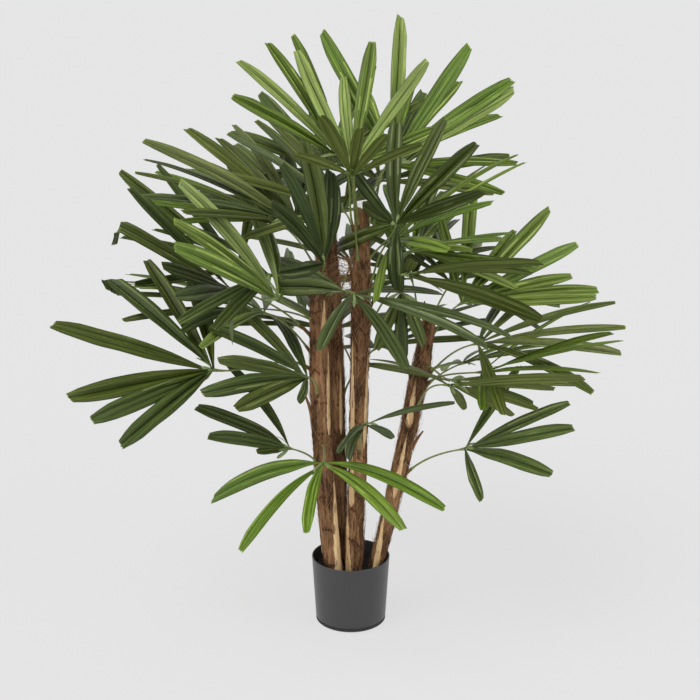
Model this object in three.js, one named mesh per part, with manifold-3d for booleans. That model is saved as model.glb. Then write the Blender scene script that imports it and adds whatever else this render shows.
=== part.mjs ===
// Potted artificial lady palm: four wrapped stems in a plain pot, with palmate fronds.
// Millimetres, +Z up. The origin is at the middle of the pot's underside.
// The front of the plant, as it is usually shown, faces -Y.

import * as THREE from "three";
import { mergeVertices } from "three/addons/utils/BufferGeometryUtils.js";
import Module from "manifold-3d";

const wasm = await Module();
wasm.setup();

// Pot and fill
const POT_HEIGHT = 137;
const POT_RIM_RADIUS = 76.5;
const POT_BASE_RADIUS = 68.5;
const POT_WALL = 2.4;
const POT_FLOOR = 3;
const POT_EDGE_ROUND = 5;
const POT_EDGE_CUT = 1.5;
const POT_SIDES = 36;
const FILL_HEIGHT = 112;
const CLEARANCE = 0.3;

// Stems: the foot stands on the fill, and each runs through a middle point to its tip
const STEM_FOOT = FILL_HEIGHT + CLEARANCE;
const STEMS = {
  a: { foot: [-33, -22], middle: [-58, -10, 460], tip: [-50, -12, 757], radius: [18, 19, 9] },
  b: { foot: [-20, 18], middle: [-27, 21, 454], tip: [-38, 28, 768], radius: [15, 16, 8] },
  c: { foot: [6, -15], middle: [16, -2, 460], tip: [20, 2, 830], radius: [17, 18, 9] },
  d: { foot: [48, -12], middle: [101, -8, 352], tip: [147, 0, 612], radius: [14, 18, 10] },
};
const STEM_SIDES = 9;
const STEM_STEPS = 5;
const STEM_CROWN_TAPER = 0.84;

// Splints: pale leaf bases of wood that stand out of the wrapping, by stem and height.
// Each faces from the first angle at its foot to the second at its point.
const SPLINTS = [
  { stem: "a", facing: [-57, -14], from: 0.0, to: 0.28, width: 20 },
  { stem: "a", facing: [-38, -28], from: 0.4, to: 0.67, width: 13 },
  { stem: "a", facing: [-64, -70], from: 0.69, to: 0.86, width: 11 },
  { stem: "a", facing: [160, 150], from: 0.05, to: 0.4, width: 13 },
  { stem: "a", facing: [95, 110], from: 0.42, to: 0.8, width: 11 },
  { stem: "b", facing: [-65, -54], from: 0.4, to: 0.62, width: 8 },
  { stem: "b", facing: [80, 95], from: 0.02, to: 0.34, width: 13 },
  { stem: "b", facing: [150, 140], from: 0.4, to: 0.75, width: 10 },
  { stem: "c", facing: [-134, -165], from: 0.0, to: 0.19, width: 17 },
  { stem: "c", facing: [-124, -130], from: 0.2, to: 0.36, width: 16 },
  { stem: "c", facing: [-132, -146], from: 0.4, to: 0.68, width: 13 },
  { stem: "c", facing: [-46, -36], from: 0.37, to: 0.64, width: 9 },
  { stem: "c", facing: [40, 55], from: 0.06, to: 0.4, width: 14 },
  { stem: "c", facing: [110, 100], from: 0.45, to: 0.8, width: 12 },
  { stem: "d", facing: [-92, -140], from: 0.0, to: 0.27, width: 15 },
  { stem: "d", facing: [-92, -99], from: 0.33, to: 0.6, width: 13 },
  { stem: "d", facing: [-99, -113], from: 0.62, to: 0.81, width: 14 },
  { stem: "d", facing: [60, 72], from: 0.05, to: 0.42, width: 14 },
  { stem: "d", facing: [120, 110], from: 0.45, to: 0.8, width: 12 },
];
const SPLINT_PROUD = 2;
const SPLINT_SUNK = 5;
const SPLINT_STEPS = 3;
const SPLINT_SECTION = [[-0.5, 0], [0.5, 0], [0.28, 1], [-0.28, 1]];
const SPLINT_EDGE_PROUD = 0.95;
const SPLINT_WIDTH_LINE = [[0, 1], [0.55, 0.8], [1, 0.12]];
const SPLINT_PROUD_LINE = [[0, 1], [0.8, 0.9], [1, 0.2]];

// Leaflets: each blade is widest past its middle and ends in a blunt tip
const BLADE_OUTLINE = [[0, 0.12], [0.24, 0.6], [0.54, 1], [0.85, 0.9], [1, 0.4]];
const BLADE_SECTION = [[-0.5, 0], [0.5, 0], [0, 1]];
const BLADE_WIDTH_FIXED = 11;
const BLADE_WIDTH_PER_LENGTH = 0.062;
const BLADE_RIB_PER_LENGTH = 0.0105;
const BLADE_RIB_LEAST = 2;
const BLADE_ROOT = 2;
const BLADE_LAYER_GAP = 0.5;
const BLADE_BEND = 14;
const BLADE_BEND_SPREAD = 4;
const BLADE_TWIST_SPREAD = 5;
const BLADE_TWIST_OVER = 0.24;
const BLADE_TIP_FROM = 0.9;
const BLADE_TIP_RIB = 0.6;
const BLADE_MARGIN = 0.5;
const BLADE_MARGIN_WIDTH = 2;
const HUB_RADIUS = 5.5;
const PETIOLE_RADIUS = [3, 2.4];
const PETIOLE_STEPS = 5;
const PETIOLE_SIDES = 3;
const PETIOLE_ROOT = 10;
const PETIOLE_LEAVES = { out: 0.22, up: 0.3 };
const PETIOLE_ARRIVES = { out: 0.15, ahead: 0.2 };

// Fronds on the front and sides. `from` is the height where the petiole leaves its stem.
// The fan opens at the hub; pan, rise and roll turn it, and leaves lists bearing and length.
const FRONT_FRONDS = [
  { stem: "a", from: 490, hub: [-250, -120, 560], pan: -170, rise: 26, roll: 26,
    bend: 5, twist: 18, wide: 1.15, tone: "dark",
    leaves: [[-75, 320], [-55, 285], [-35, 295], [7, 304], [39, 320], [49, 300], [60, 290]] },
  { stem: "a", from: 440, hub: [-80, -90, 535], pan: -145, rise: 30, roll: 30,
    twist: 22, wide: 1.2, tone: "dark",
    leaves: [[-95, 230], [-60, 230], [-20, 210], [8, 209], [25, 287], [35, 245], [60, 85]] },
  { stem: "a", from: 310, hub: [-116, -60, 384], pan: -150, rise: 40, roll: 40,
    bend: 24, twist: 18, wide: 1.15, tone: "dark",
    leaves: [[-50, 210], [0, 210], [20, 195], [30, 80]] },
  { stem: "a", from: 340, hub: [-50, -150, 390], pan: -95, rise: 3, roll: -12,
    bend: 32, cup: -28, wide: 1.05, tone: "bright",
    leaves: [[-114, 278], [-35, 262], [-5, 220], [35, 264], [56, 279]] },
  { stem: "a", from: 690, hub: [-49, -110, 758], pan: -120, rise: 70, roll: 75,
    twist: 12, wide: 1.3, tone: "dark",
    leaves: [[-68, 210], [-31, 222], [3, 218], [27, 212], [62, 185]] },
  { stem: "a", from: 590, hub: [-130, -100, 687], pan: 175, rise: 65, roll: 5,
    twist: 22, wide: 1.1, tone: "bright",
    leaves: [[-85, 280], [-65, 280], [-40, 320], [15, 290], [40, 305], [52, 330]] },
  { stem: "a", from: 560, hub: [-222, -40, 690], pan: -125, rise: 30, roll: 35,
    bend: 0, twist: 22, wide: 1.1, tone: "dark",
    leaves: [[-43, 262], [-13, 335], [11, 260], [25, 290], [50, 275]] },
  { stem: "a", from: 645, hub: [-10, -120, 707], pan: 125, rise: 5, roll: 0,
    twist: 15, tone: "grey",
    leaves: [[-57, 195], [0, 225], [18, 145]] },
  { stem: "b", from: 560, hub: [-210, 100, 615], pan: -150, rise: 12, roll: 0,
    twist: 15, tone: "dark",
    leaves: [[-40, 255], [10, 275], [25, 230]] },
  { stem: "b", from: 640, hub: [-217, 90, 697], pan: -173, rise: 47, roll: 78,
    twist: 35, tone: "dark",
    leaves: [[-60, 190], [-8, 250], [4, 290], [50, 200]] },
  { stem: "b", from: 700, hub: [-95, 30, 790], pan: 156, rise: 47, roll: 0,
    twist: 15, wide: 1.1, tone: "dark",
    leaves: [[-49, 290], [-31, 305], [-8, 240], [8, 283], [30, 336], [54, 210]] },
  { stem: "c", from: 640, hub: [5, -170, 718], pan: -30, rise: -6, roll: 3,
    twist: -18, tone: "grey",
    leaves: [[-73, 255], [-40, 270], [5, 262], [32, 295], [79, 257]] },
  { stem: "c", from: 770, hub: [-25, 20, 929], pan: -171, rise: 57, roll: 45,
    twist: 10, tone: "bright",
    leaves: [[-27, 243], [-10, 240], [8, 252], [28, 236]] },
  { stem: "c", from: 780, hub: [2, -60, 923], pan: 86, rise: 67, roll: 0,
    tone: "bright",
    leaves: [[-62, 170], [-33, 245], [-8, 244], [9, 175], [33, 252]] },
  { stem: "c", from: 760, hub: [75, -20, 924], pan: 37, rise: 51, roll: -55,
    tone: "bright",
    leaves: [[-28, 283], [-23, 290], [-3, 275], [26, 287], [59, 275]] },
  { stem: "c", from: 720, hub: [80, -140, 836], pan: 108, rise: 53, roll: 73,
    twist: -15, cup: 20, wide: 1.15, tone: "dark",
    leaves: [[-100, 225], [-80, 235], [-55, 210], [-10, 210], [35, 240], [54, 155], [71, 245], [143, 120]] },
  { stem: "c", from: 650, hub: [98, -160, 750], pan: -17, rise: 16, roll: 32,
    twist: 20, wide: 1.1, tone: "dark",
    leaves: [[-63, 110], [-4, 252], [17, 221], [59, 317]] },
  { stem: "c", from: 650, hub: [94, 80, 725], pan: 5, rise: 18, roll: 12,
    twist: -20, tone: "bright",
    leaves: [[-40, 170], [-20, 205], [-4, 215], [14, 210], [40, 185], [66, 170]] },
  { stem: "c", from: 350, hub: [28, -140, 462], pan: -77, rise: 18, roll: -15,
    cup: 45, tone: "grey",
    leaves: [[-32, 170], [3, 150], [84, 170]] },
  { stem: "d", from: 440, hub: [179, -130, 534], pan: -11, rise: 6, roll: 38,
    twist: 20, tone: "grey",
    leaves: [[-110, 270], [-20, 270], [-8, 200], [28, 175], [52, 165], [80, 100]] },
  { stem: "d", from: 490, hub: [244, -60, 536], pan: -35, rise: 25, roll: -19,
    twist: 42, tone: "bright",
    leaves: [[-69, 150], [-14, 270], [5, 285], [12, 265], [64, 290]] },
  { stem: "d", from: 570, hub: [211, 40, 641], pan: 30, rise: 32, roll: -40,
    twist: -8, wide: 0.95, tone: "bright",
    leaves: [[-40, 262], [-34, 275], [-24, 230], [-13, 270], [6, 285], [14, 205], [41, 300], [61, 200]] },
  { stem: "d", from: 310, hub: [216, -60, 383], pan: -31, rise: 30, roll: -25,
    bend: 5, twist: -18, tone: "dark",
    leaves: [[-63, 191], [-31, 266], [-12, 265], [9, 231], [73, 235]] },
  { stem: "d", from: 530, hub: [185, -60, 520], pan: -19, rise: -6, roll: -17,
    bend: 10, tone: "dark",
    leaves: [[-54, 78], [-2, 161], [26, 253], [172, 177]] },
  { stem: "c", from: 600, hub: [92, -60, 690], pan: -90, rise: -65, roll: 0,
    bend: 10, wide: 1.3, tone: "dark",
    leaves: [[-24, 115], [0, 133], [25, 106]] },
  { stem: "c", from: 700, hub: [2, -110, 916], pan: -85, rise: 55, roll: 0,
    wide: 1.15, tone: "bright",
    leaves: [[-55, 125], [-19, 187], [3, 133], [24, 131], [50, 150]] },
];

// Fronds behind: they come off the upper stems in turn, the higher the steeper
const BACK_FRONDS = [
  { stem: "b", from: 730, pan: 95, reach: 150, climb: 45 },
  { stem: "c", from: 790, pan: 60, reach: 120, climb: 35 },
  { stem: "c", from: 700, pan: 75, reach: 190, climb: 40 },
  { stem: "b", from: 660, pan: 120, reach: 170, climb: 28 },
  { stem: "a", from: 700, pan: 145, reach: 110, climb: 25 },
  { stem: "d", from: 590, pan: 65, reach: 130, climb: 15 },
  { stem: "d", from: 540, pan: 95, reach: 190, climb: 25 },
  { stem: "c", from: 620, pan: 50, reach: 170, climb: 25 },
  { stem: "b", from: 590, pan: 80, reach: 200, climb: 10 },
  { stem: "b", from: 520, pan: 150, reach: 190, climb: 10 },
  { stem: "d", from: 460, pan: 45, reach: 140, climb: 5 },
  { stem: "c", from: 500, pan: 110, reach: 160, climb: 10 },
  { stem: "b", from: 420, pan: 60, reach: 160, climb: 15 },
  { stem: "a", from: 520, pan: 160, reach: 120, climb: 20 },
  { stem: "c", from: 740, pan: 130, reach: 70, climb: 40 },
  { stem: "a", from: 640, pan: -150, reach: 110, climb: 15 },
  { stem: "c", from: 680, pan: -30, reach: 100, climb: 45 },
  { stem: "d", from: 500, pan: 0, reach: 120, climb: 20 },
  { stem: "a", from: 730, pan: -170, reach: 90, climb: 30 },
];
const BACK_LEAVES = 7;
const BACK_FAN = 150;
const BACK_LENGTH = 290;
const BACK_OUTER_SHORTER = 0.25;
const BACK_LENGTH_SPREAD = 15;
const BACK_BEARING_SPREAD = 5;
const BACK_HUB_LIFT = 40;
const BACK_RISE_PER_CLIMB = 0.9;
const BACK_PAN_SPREAD = 10;
const BACK_ROLL_SPREAD = 25;
const BACK_TONES = ["dark", "bright", "dark"];

// Ways round a neighbour, tried in turn: more or less bend, a small swing, a shorter blade
const WAY_BENDS = [0, 8, -8, 16, -16, 24];
const WAY_SWINGS = [0, 4, -4, 8, -8, 13, -13];
const WAY_CUTS = [0.85, 0.7];
const WAY_CUT_BENDS = [0, 10, -10, 20];
const WAYS = [
  ...WAY_BENDS.flatMap((bend) => WAY_SWINGS.map((swing) => ({ bend, swing, cut: 1 }))),
  ...WAY_CUTS.flatMap((cut) => WAY_CUT_BENDS.map((bend) => ({ bend, swing: 0, cut }))),
];

const COLOURS = {
  pot: 0x2b2b2d,
  fill: 0x141210,
  wrap: 0x5a3a24,
  dark: 0x2f4a26,
  grey: 0x3d5a36,
  bright: 0x4f8a2c,
};
const ROUGHNESS = { pot: 0.5, wrap: 0.9, leaf: 0.6 };

const UP = new THREE.Vector3(0, 0, 1);
const DEGREE = Math.PI / 180;
const TINY = 1e-6;
const WELD = 1e-4;
const SLIVER = 0.1;

// Seeded numbers in 0..1, the same on every run
let seed = 20;
function chance() {
  seed = (seed * 1664525 + 1013904223) % 4294967296;
  return seed / 4294967296;
}
function spread(size) {
  return (2 * chance() - 1) * size;
}

// A prism of a flat section, moved point by point: place(t, x, y) gives where a point of it goes
function sweep(section, steps, place) {
  const outline = new THREE.Shape(section.map(([x, y]) => new THREE.Vector2(x, y)));
  const geometry = new THREE.ExtrudeGeometry(outline, { depth: 1, steps, bevelEnabled: false });
  const points = geometry.attributes.position;
  for (let i = 0; i < points.count; i += 1) {
    const moved = place(points.getZ(i), points.getX(i), points.getY(i));
    points.setXYZ(i, moved.x, moved.y, moved.z);
  }
  return solid(geometry);
}

function solid(geometry) {
  geometry.deleteAttribute("normal");
  geometry.deleteAttribute("uv");
  const merged = mergeVertices(geometry, WELD);
  const mesh = new wasm.Mesh({
    numProp: 3,
    vertProperties: new Float32Array(merged.attributes.position.array),
    triVerts: new Uint32Array(merged.index.array),
  });
  return new wasm.Manifold(mesh);
}

function polygon(sides) {
  return Array.from({ length: sides }, (unused, i) => {
    const angle = (2 * Math.PI * (i + 0.5)) / sides;
    return [Math.cos(angle), Math.sin(angle)];
  });
}

// Value at t of a line through [t, value] points
function along(line, t) {
  const next = Math.max(1, line.findIndex(([at]) => at >= t - TINY));
  const [t0, v0] = line[next - 1];
  const [t1, v1] = line[next];
  return v0 + ((v1 - v0) * (t - t0)) / (t1 - t0);
}

// The middle line of a stem, and its radius, from foot (0) to tip (1)
function stemLine(stem) {
  const foot = new THREE.Vector3(...STEMS[stem].foot, STEM_FOOT);
  const middle = new THREE.Vector3(...STEMS[stem].middle);
  const tip = new THREE.Vector3(...STEMS[stem].tip);
  const bow = middle.multiplyScalar(2).sub(foot.clone().add(tip).multiplyScalar(0.5));
  return new THREE.QuadraticBezierCurve3(foot, bow, tip);
}

function stemRadius(stem, t) {
  const [foot, crown, tip] = STEMS[stem].radius;
  return along([[0, foot], [STEM_CROWN_TAPER, crown], [1, tip]], t);
}

function stemSolid(stem, margin) {
  const line = stemLine(stem);
  const body = sweep(polygon(STEM_SIDES), STEM_STEPS, (t, x, y) => {
    const centre = line.getPoint(t);
    const radius = stemRadius(stem, t) + margin;
    return new THREE.Vector3(centre.x + x * radius, centre.y + y * radius, centre.z);
  });
  return SPLINTS.filter((splint) => splint.stem === stem)
    .reduce((whole, splint) => whole.add(splintSolid(splint, margin)), body);
}

// A splint: a flat strip on the stem, pointed at the top and sunk into the wrapping
function splintSolid({ stem, facing, from, to, width }, margin) {
  const line = stemLine(stem);
  return sweep(SPLINT_SECTION, SPLINT_STEPS, (t, x, y) => {
    const turn = along([[0, facing[0]], [1, facing[1]]], t) * DEGREE;
    const out = new THREE.Vector3(Math.cos(turn), Math.sin(turn), 0);
    const side = new THREE.Vector3().crossVectors(out, UP);
    const at = from + (to - from) * t;
    const centre = line.getPoint(at);
    const across = (width + 2 * margin) * along(SPLINT_WIDTH_LINE, t);
    const proud = (SPLINT_PROUD * along(SPLINT_PROUD_LINE, t) + margin) * SPLINT_EDGE_PROUD;
    const depth = stemRadius(stem, at) - SPLINT_SUNK + y * (SPLINT_SUNK + proud);
    return centre.addScaledVector(side, x * across).addScaledVector(out, depth);
  });
}

// The fan's own directions: ahead along its middle, across it, and the face of its blades
function fanAxes({ pan, rise, roll }) {
  const ahead = new THREE.Vector3(
    Math.cos(rise * DEGREE) * Math.cos(pan * DEGREE),
    Math.cos(rise * DEGREE) * Math.sin(pan * DEGREE),
    Math.sin(rise * DEGREE),
  );
  const level = new THREE.Vector3(-Math.sin(pan * DEGREE), Math.cos(pan * DEGREE), 0);
  const face = new THREE.Vector3().crossVectors(ahead, level)
    .multiplyScalar(Math.cos(roll * DEGREE)).addScaledVector(level, Math.sin(roll * DEGREE));
  const across = new THREE.Vector3().crossVectors(face, ahead);
  return { ahead, across, face };
}

// A leaflet: a thin blade with a raised rib that bends evenly towards its under side.
// Every other one lies a layer lower, so that neighbours pass over each other.
function leafletSolid(hub, axes, { bearing, length, bend, twist, wide, lower }, margin) {
  const ahead = axes.ahead.clone().multiplyScalar(Math.cos(bearing * DEGREE))
    .addScaledVector(axes.across, Math.sin(bearing * DEGREE));
  const level = new THREE.Vector3().crossVectors(axes.face, ahead);
  const width = (BLADE_WIDTH_FIXED + BLADE_WIDTH_PER_LENGTH * length) * wide;
  const rib = Math.max(BLADE_RIB_LEAST, BLADE_RIB_PER_LENGTH * length);
  const total = bend * DEGREE;
  const stations = BLADE_OUTLINE.length - 1;
  return sweep(BLADE_SECTION, stations, (step, x, y) => {
    const [t, share] = BLADE_OUTLINE[Math.round(step * stations)];
    const run = BLADE_ROOT + t * (length - BLADE_ROOT + margin);
    const turn = (total * run) / length;
    const bent = Math.abs(turn) > TINY;
    const reach = bent ? (run * Math.sin(turn)) / turn : run;
    const drop = bent ? (run * (1 - Math.cos(turn))) / turn : 0;
    const turned = twist * DEGREE * Math.min(1, t / BLADE_TWIST_OVER);
    const face = axes.face.clone().multiplyScalar(Math.cos(turned))
      .addScaledVector(level, Math.sin(turned));
    const side = new THREE.Vector3().crossVectors(face, ahead);
    const layer = lower ? -rib - BLADE_LAYER_GAP : 0;
    const raised = y * rib * (t > BLADE_TIP_FROM ? BLADE_TIP_RIB : 1);
    const lift = layer + raised + (2 * y - 1) * margin;
    const aside = x * (width * share + 2 * BLADE_MARGIN_WIDTH * margin);
    return hub.clone().addScaledVector(ahead, reach).addScaledVector(axes.face, -drop)
      .addScaledVector(side, aside).addScaledVector(face, lift);
  });
}

// A petiole: it leaves the stem steeply, bows outwards and runs into the fan's middle
function petioleLine(frond) {
  const line = stemLine(frond.stem);
  const hub = new THREE.Vector3(...frond.hub);
  const at = (frond.from - STEM_FOOT) / (STEMS[frond.stem].tip[2] - STEM_FOOT);
  const root = line.getPoint(at);
  const out = hub.clone().sub(root).setZ(0).normalize();
  const reach = hub.distanceTo(root);
  const { ahead } = fanAxes(frond);
  const start = root.clone().addScaledVector(out, stemRadius(frond.stem, at) - PETIOLE_ROOT);
  return new THREE.CubicBezierCurve3(
    start,
    start.clone().addScaledVector(out, reach * PETIOLE_LEAVES.out)
      .addScaledVector(UP, reach * PETIOLE_LEAVES.up),
    hub.clone().addScaledVector(ahead, -reach * PETIOLE_ARRIVES.ahead)
      .addScaledVector(out, -reach * PETIOLE_ARRIVES.out),
    hub,
  );
}

function petioleSolid(frond) {
  const line = petioleLine(frond);
  const side = new THREE.Vector3().crossVectors(UP, line.getTangent(0.5)).normalize();
  return sweep(polygon(PETIOLE_SIDES), PETIOLE_STEPS, (t, x, y) => {
    const radius = PETIOLE_RADIUS[0] + (PETIOLE_RADIUS[1] - PETIOLE_RADIUS[0]) * t;
    const other = new THREE.Vector3().crossVectors(line.getTangent(t), side).normalize();
    return line.getPoint(t).addScaledVector(side, x * radius).addScaledVector(other, y * radius);
  });
}

// The knob where a petiole ends and its leaflets are rooted
function hubSolid({ hub }) {
  return solid(new THREE.OctahedronGeometry(HUB_RADIUS).translate(...hub));
}

// The largest piece of a solid, with any pocket that its blades close off filled in
function mainPiece(manifold) {
  const pieces = manifold.simplify(SLIVER).decompose();
  return pieces.sort((one, other) => other.volume() - one.volume())[0];
}

function touches(one, others) {
  const box = one.boundingBox();
  return others.some((other) => {
    const far = other.boundingBox();
    const apart = [0, 1, 2].some((i) => box.min[i] > far.max[i] || far.min[i] > box.max[i]);
    return !apart && one.intersect(other).volume() > 0;
  });
}

// A frond of the back, in the same terms as the others
function backFrond({ stem, from, pan, reach, climb }, index) {
  const at = (from - STEM_FOOT) / (STEMS[stem].tip[2] - STEM_FOOT);
  const root = stemLine(stem).getPoint(at);
  const flat = reach * Math.cos(climb * DEGREE);
  const hub = [
    root.x + flat * Math.cos(pan * DEGREE),
    root.y + flat * Math.sin(pan * DEGREE),
    root.z + BACK_HUB_LIFT + reach * Math.sin(climb * DEGREE),
  ];
  const leaves = Array.from({ length: BACK_LEAVES }, (unused, i) => {
    const place = (2 * i) / (BACK_LEAVES - 1) - 1;
    const length = BACK_LENGTH * (1 - BACK_OUTER_SHORTER * place * place);
    const longer = spread(BACK_LENGTH_SPREAD);
    return [(place * BACK_FAN) / 2 + spread(BACK_BEARING_SPREAD), length + longer];
  });
  return {
    stem,
    from,
    hub,
    pan: pan + spread(BACK_PAN_SPREAD),
    rise: climb * BACK_RISE_PER_CLIMB,
    roll: spread(BACK_ROLL_SPREAD),
    tone: BACK_TONES[index % BACK_TONES.length],
    leaves,
  };
}

const fronds = [...FRONT_FRONDS, ...BACK_FRONDS.map(backFrond)];

// Each frond: its petiole cut clear of the stem, then every leaflet that finds a free way.
// One that would touch a neighbour or leave the space is left out.
function growFronds(standing) {
  const grown = fronds.map((frond) => {
    const petiole = mainPiece(petioleSolid(frond).subtract(standing[frond.stem]));
    return petiole.add(hubSolid(frond));
  });
  fronds.forEach((frond, index) => {
    const hub = new THREE.Vector3(...frond.hub);
    const axes = fanAxes(frond);
    const others = [...Object.values(standing), ...grown.filter((other, i) => i !== index)];
    frond.leaves.forEach(([bearing, length], place) => {
      const bend = (frond.bend ?? BLADE_BEND) + spread(BLADE_BEND_SPREAD);
      const cupped = ((frond.cup ?? 0) * bearing) / 90;
      const twist = (frond.twist ?? 0) + cupped + spread(BLADE_TWIST_SPREAD);
      const leaves = WAYS.map((way) => ({
        bearing: bearing + way.swing,
        length: length * way.cut,
        bend: bend + way.bend,
        twist,
        wide: frond.wide ?? 1,
        lower: place % 2 === 1,
      }));
      const leaf = leaves.find((tried) => !touches(leafletSolid(hub, axes, tried, BLADE_MARGIN), others));
      if (leaf) {
        grown[index] = grown[index].add(leafletSolid(hub, axes, leaf, 0));
      }
    });
  });
  return grown.map(mainPiece);
}

function meshOf(manifold) {
  const { vertProperties, triVerts } = manifold.getMesh();
  const geometry = new THREE.BufferGeometry();
  geometry.setAttribute("position", new THREE.BufferAttribute(vertProperties, 3));
  geometry.setIndex(new THREE.BufferAttribute(triVerts, 1));
  return geometry;
}

const palm = new THREE.Group();
function addPart(name, geometry, colour, roughness) {
  const material = new THREE.MeshStandardMaterial({ color: colour, roughness, metalness: 0 });
  const mesh = new THREE.Mesh(geometry, material);
  mesh.name = name;
  palm.add(mesh);
}

// Pot: a thin wall with a small rounded foot, open at the top
function potRadius(height) {
  return POT_BASE_RADIUS + ((POT_RIM_RADIUS - POT_BASE_RADIUS) * height) / POT_HEIGHT;
}
const potProfile = [
  [0, 0],
  [POT_BASE_RADIUS - POT_EDGE_ROUND, 0],
  [potRadius(0) - POT_EDGE_CUT, POT_EDGE_CUT],
  [potRadius(POT_EDGE_ROUND), POT_EDGE_ROUND],
  [potRadius(POT_HEIGHT), POT_HEIGHT],
  [potRadius(POT_HEIGHT) - POT_WALL, POT_HEIGHT],
  [potRadius(POT_FLOOR) - POT_WALL, POT_FLOOR],
  [0, POT_FLOOR],
].map(([radius, height]) => new THREE.Vector2(radius, height));
const potShape = new THREE.LatheGeometry(potProfile, POT_SIDES).rotateX(Math.PI / 2);
addPart("pot", meshOf(solid(potShape)), COLOURS.pot, ROUGHNESS.pot);

const fillFoot = POT_FLOOR + CLEARANCE;
const fillInset = POT_WALL + 2 * CLEARANCE;
const fillProfile = [
  [0, fillFoot],
  [potRadius(fillFoot) - fillInset, fillFoot],
  [potRadius(FILL_HEIGHT) - fillInset, FILL_HEIGHT],
  [0, FILL_HEIGHT],
].map(([radius, height]) => new THREE.Vector2(radius, height));
const fillShape = new THREE.LatheGeometry(fillProfile, POT_SIDES).rotateX(Math.PI / 2);
const fill = solid(fillShape);
addPart("fill", meshOf(fill), COLOURS.fill, ROUGHNESS.wrap);

// Stems, and the room round each that its fronds keep clear
const standing = { fill };
for (const stem of Object.keys(STEMS)) {
  addPart(`stem_${stem}`, meshOf(stemSolid(stem, 0)), COLOURS.wrap, ROUGHNESS.wrap);
  standing[stem] = stemSolid(stem, CLEARANCE);
}

growFronds(standing).forEach((frond, index) => {
  const { stem, tone } = fronds[index];
  const number = String(index + 1).padStart(2, "0");
  addPart(`frond_${stem}${number}`, meshOf(frond), COLOURS[tone], ROUGHNESS.leaf);
});

export default palm;
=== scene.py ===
import math
import random

import bpy
import numpy as np
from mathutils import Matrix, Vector


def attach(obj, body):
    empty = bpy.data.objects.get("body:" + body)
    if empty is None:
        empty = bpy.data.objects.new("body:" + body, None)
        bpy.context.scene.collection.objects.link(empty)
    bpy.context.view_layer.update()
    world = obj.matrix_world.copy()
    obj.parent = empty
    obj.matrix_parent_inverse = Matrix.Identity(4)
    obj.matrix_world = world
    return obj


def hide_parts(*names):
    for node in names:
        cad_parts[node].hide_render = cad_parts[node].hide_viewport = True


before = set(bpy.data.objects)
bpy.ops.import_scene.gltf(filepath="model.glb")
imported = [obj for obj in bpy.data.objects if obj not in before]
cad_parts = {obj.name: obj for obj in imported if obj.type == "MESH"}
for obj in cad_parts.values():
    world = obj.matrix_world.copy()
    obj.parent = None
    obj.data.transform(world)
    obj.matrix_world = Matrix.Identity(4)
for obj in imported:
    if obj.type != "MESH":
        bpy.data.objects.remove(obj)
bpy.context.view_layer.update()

scene = bpy.context.scene

# Studio: the palm stands on a pale seamless floor under wide soft light from above and both
# sides, with even light all round. None of it belongs to the palm.
FLOOR_HALF = 60.0
FLOOR_LEVEL = -0.0005
floor_mesh = bpy.data.meshes.new("floor")
floor_mesh.from_pydata(
    [(x * FLOOR_HALF, y * FLOOR_HALF, FLOOR_LEVEL) for x, y in ((-1, -1), (1, -1), (1, 1), (-1, 1))],
    [],
    [(0, 1, 2, 3)],
)
floor = bpy.data.objects.new("floor", floor_mesh)
scene.collection.objects.link(floor)
paper = bpy.data.materials.new("floor paper")
paper.use_nodes = True
paper_shader = paper.node_tree.nodes["Principled BSDF"]
paper_shader.inputs["Base Color"].default_value = (0.11, 0.11, 0.11, 1)
paper_shader.inputs["Emission Color"].default_value = (1, 1, 1, 1)
paper_shader.inputs["Emission Strength"].default_value = 0.645
paper_shader.inputs["Roughness"].default_value = 1.0
paper_shader.inputs["Specular IOR Level"].default_value = 0.0
floor_mesh.materials.append(paper)

# The room is as pale as the floor near the horizon and a little darker overhead.
sky = bpy.data.worlds.new("room light")
sky.use_nodes = True
sky_nodes, sky_links = sky.node_tree.nodes, sky.node_tree.links
height = sky_nodes.new("ShaderNodeSeparateXYZ")
sky_links.new(sky_nodes.new("ShaderNodeTexCoord").outputs["Generated"], height.inputs["Vector"])
paleness = sky_nodes.new("ShaderNodeValToRGB")
horizon, overhead = paleness.color_ramp.elements
horizon.position, horizon.color = 0.22, (0.785, 0.785, 0.785, 1)
overhead.position, overhead.color = 0.6, (0.5, 0.5, 0.5, 1)
sky_links.new(height.outputs["Z"], paleness.inputs["Fac"])
sky_links.new(paleness.outputs["Color"], sky_nodes["Background"].inputs["Color"])
scene.world = sky


def hang_light(name, facing, wide, strength):
    """A far, wide soft light that falls the same on the whole floor."""
    lamp = bpy.data.lights.new(name, "SUN")
    lamp.angle = math.radians(wide)
    lamp.energy = strength
    holder = bpy.data.objects.new(name, lamp)
    holder.rotation_euler = Vector(facing).to_track_quat("-Z", "Y").to_euler()
    scene.collection.objects.link(holder)


hang_light("top light", (0.3, 0.45, -1.0), 35, 1.6)
hang_light("left light", (0.9, 0.5, -0.5), 50, 1.1)
hang_light("right light", (-0.9, 0.5, -0.5), 50, 1.05)

# The camera looks from the front and a little above the crown, through a long lens.
scene.view_settings.view_transform = "Standard"
lens = bpy.data.cameras.new("camera")
lens.sensor_width = 36
lens.lens = 82.65
lens.shift_x = -0.0011
lens.clip_end = 200
camera = bpy.data.objects.new("camera", lens)
camera.location = (0, -2.9, 1.48)
camera.rotation_euler = (math.radians(72.4), 0, 0)
scene.collection.objects.link(camera)
scene.camera = camera

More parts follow.
